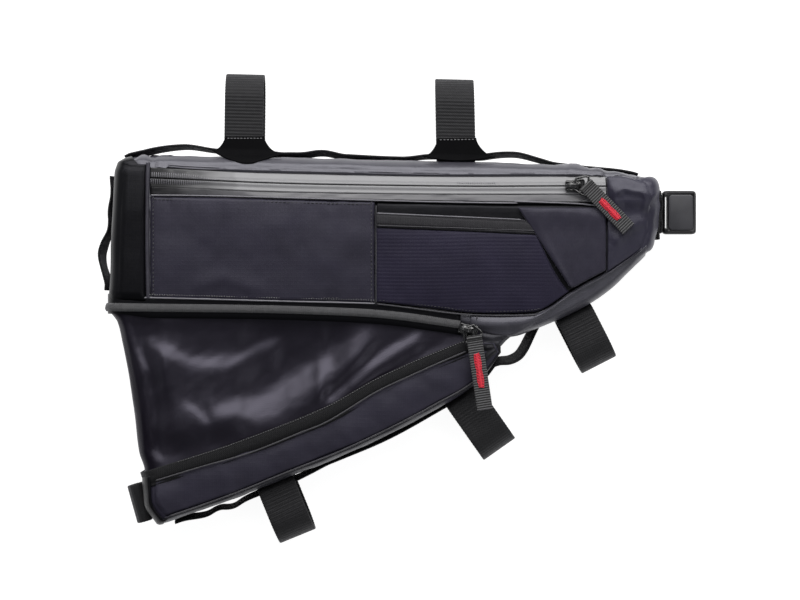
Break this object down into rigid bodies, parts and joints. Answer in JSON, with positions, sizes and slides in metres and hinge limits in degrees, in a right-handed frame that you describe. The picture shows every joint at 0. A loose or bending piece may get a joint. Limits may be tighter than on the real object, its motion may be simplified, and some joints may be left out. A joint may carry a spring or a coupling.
{
  "type": "bicycle frame bag",
  "caption": "Soft zipped bag that straps inside a bicycle's frame, wedge shaped, with its expansion zip open and a thin cloth panel let out above a narrow base.",
  "frame": {"origin": "the centre of the whole part's box, on the surface that the back panel rests on", "axes": "+X runs along the bag from its blunt end to its nose, +Y from the base strip towards the edge that meets the top tube, +Z out of the front panel"},
  "size_m": [0.387, 0.3044, 0.0668],
  "materials": {
    "ripstop": "matte coated ripstop weave",
    "pocket_cloth": "matte fine-ribbed stretch weave",
    "satin": "satin coated cloth",
    "sheer": "thin crinkled cloth with a soft sheen",
    "laminate": "smooth laminated zip tape",
    "webbing": "matte woven webbing",
    "plastic": "satin moulded",
    "gunmetal": "glossy dark plating",
    "thread": "dense satin stitching"
  },
  "bodies": {
    "root": {"back_panel": "ripstop", "base_strap_1": "webbing", "base_strap_2": "webbing", "base_strip": "ripstop", "base_webbing": "webbing", "base_zip_bar_tack": "thread", "base_zip_bridge": "gunmetal", "base_zip_lower_tape": "webbing", "base_zip_ring": "gunmetal", "base_zip_slider": "gunmetal", "base_zip_tab": "webbing", "base_zip_upper_tape": "webbing", "corner_overlay": "satin", "end_strap": "webbing", "end_webbing": "webbing", "expansion_panel": "sheer", "left_end_panel": "satin", "left_piping": "satin", "nose_buckle": "plastic", "nose_panel": "ripstop", "nose_strap": "webbing", "nose_stub": "webbing", "plain_panel": "ripstop", "pocket_backing": "ripstop", "pocket_binding": "webbing", "pocket_panel": "pocket_cloth", "slack_webbing": "webbing", "top_strap_1": "webbing", "top_strap_2": "webbing", "top_webbing": "webbing", "top_zip_bar_tack": "thread", "top_zip_bridge": "gunmetal", "top_zip_coil": "plastic", "top_zip_lower_tape": "laminate", "top_zip_ring": "gunmetal", "top_zip_slider": "gunmetal", "top_zip_tab": "webbing", "top_zip_upper_tape": "laminate", "upper_compartment": "satin", "yoke_panel": "ripstop"}
  },
  "joints": []
}
